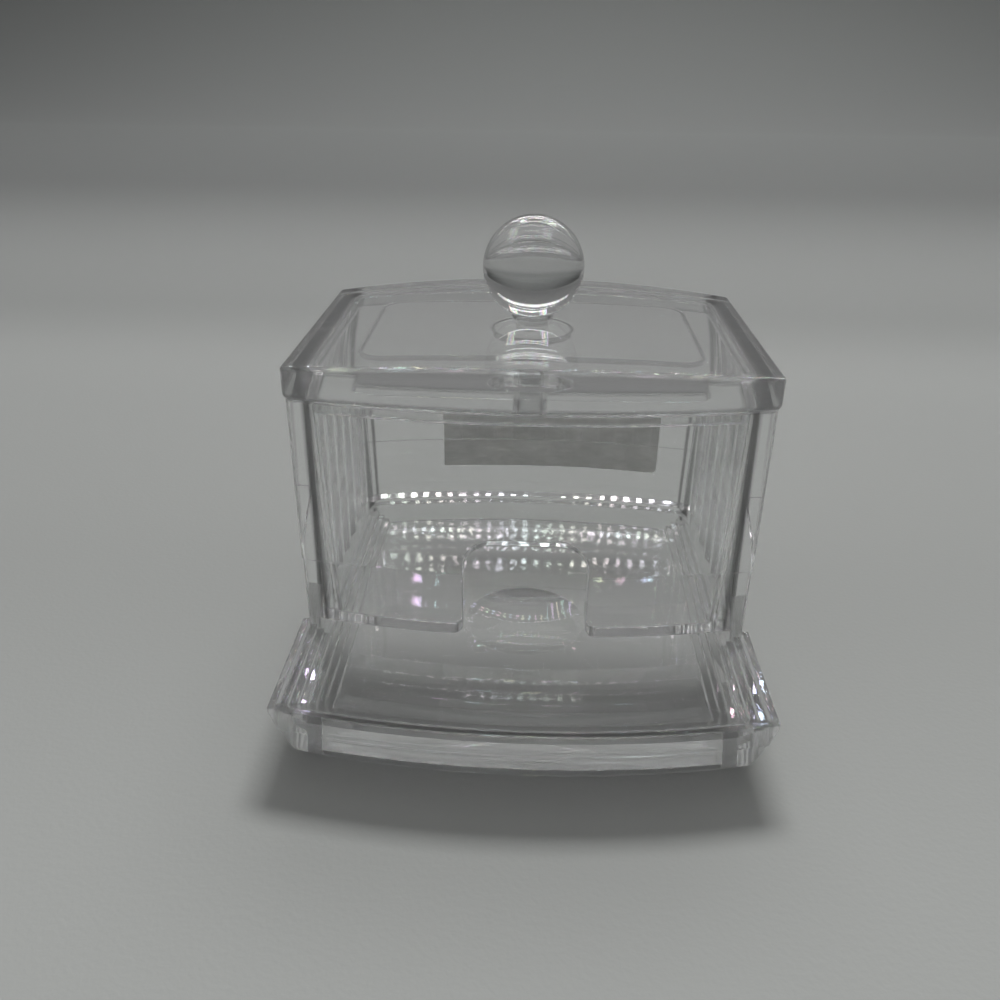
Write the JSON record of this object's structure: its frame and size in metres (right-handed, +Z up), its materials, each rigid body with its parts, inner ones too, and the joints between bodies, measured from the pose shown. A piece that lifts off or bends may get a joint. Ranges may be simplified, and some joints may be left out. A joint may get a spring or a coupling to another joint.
{
  "type": "cotton swab holder",
  "caption": "Clear moulded cotton swab box with bowed walls, a lift-off lid with a ball knob, a finger notch and a pull-out serving tray.",
  "frame": {"origin": "on the table, under the middle of the box and tray together", "axes": "+Z up, the tray and the finger notch face -Y, X runs from side to side"},
  "size_m": [0.1, 0.1072, 0.0973],
  "materials": {
    "clear_plastic": "clear, polished",
    "label_paper": "matt paper"
  },
  "bodies": {
    "box": {"box": "clear_plastic", "back_label": "label_paper"},
    "tray": {"tray": "clear_plastic"},
    "lid": {"lid": "clear_plastic", "knob": "clear_plastic"}
  },
  "joints": [
    {"name": "tray_pull", "type": "slide", "parent": "box", "child": "tray", "axis": [0, -1, 0], "range_m": [0, 0.075]},
    {"name": "lid_lift", "type": "slide", "parent": "box", "child": "lid", "axis": [0, 0, 1], "range_m": [0, 0.05]}
  ]
}
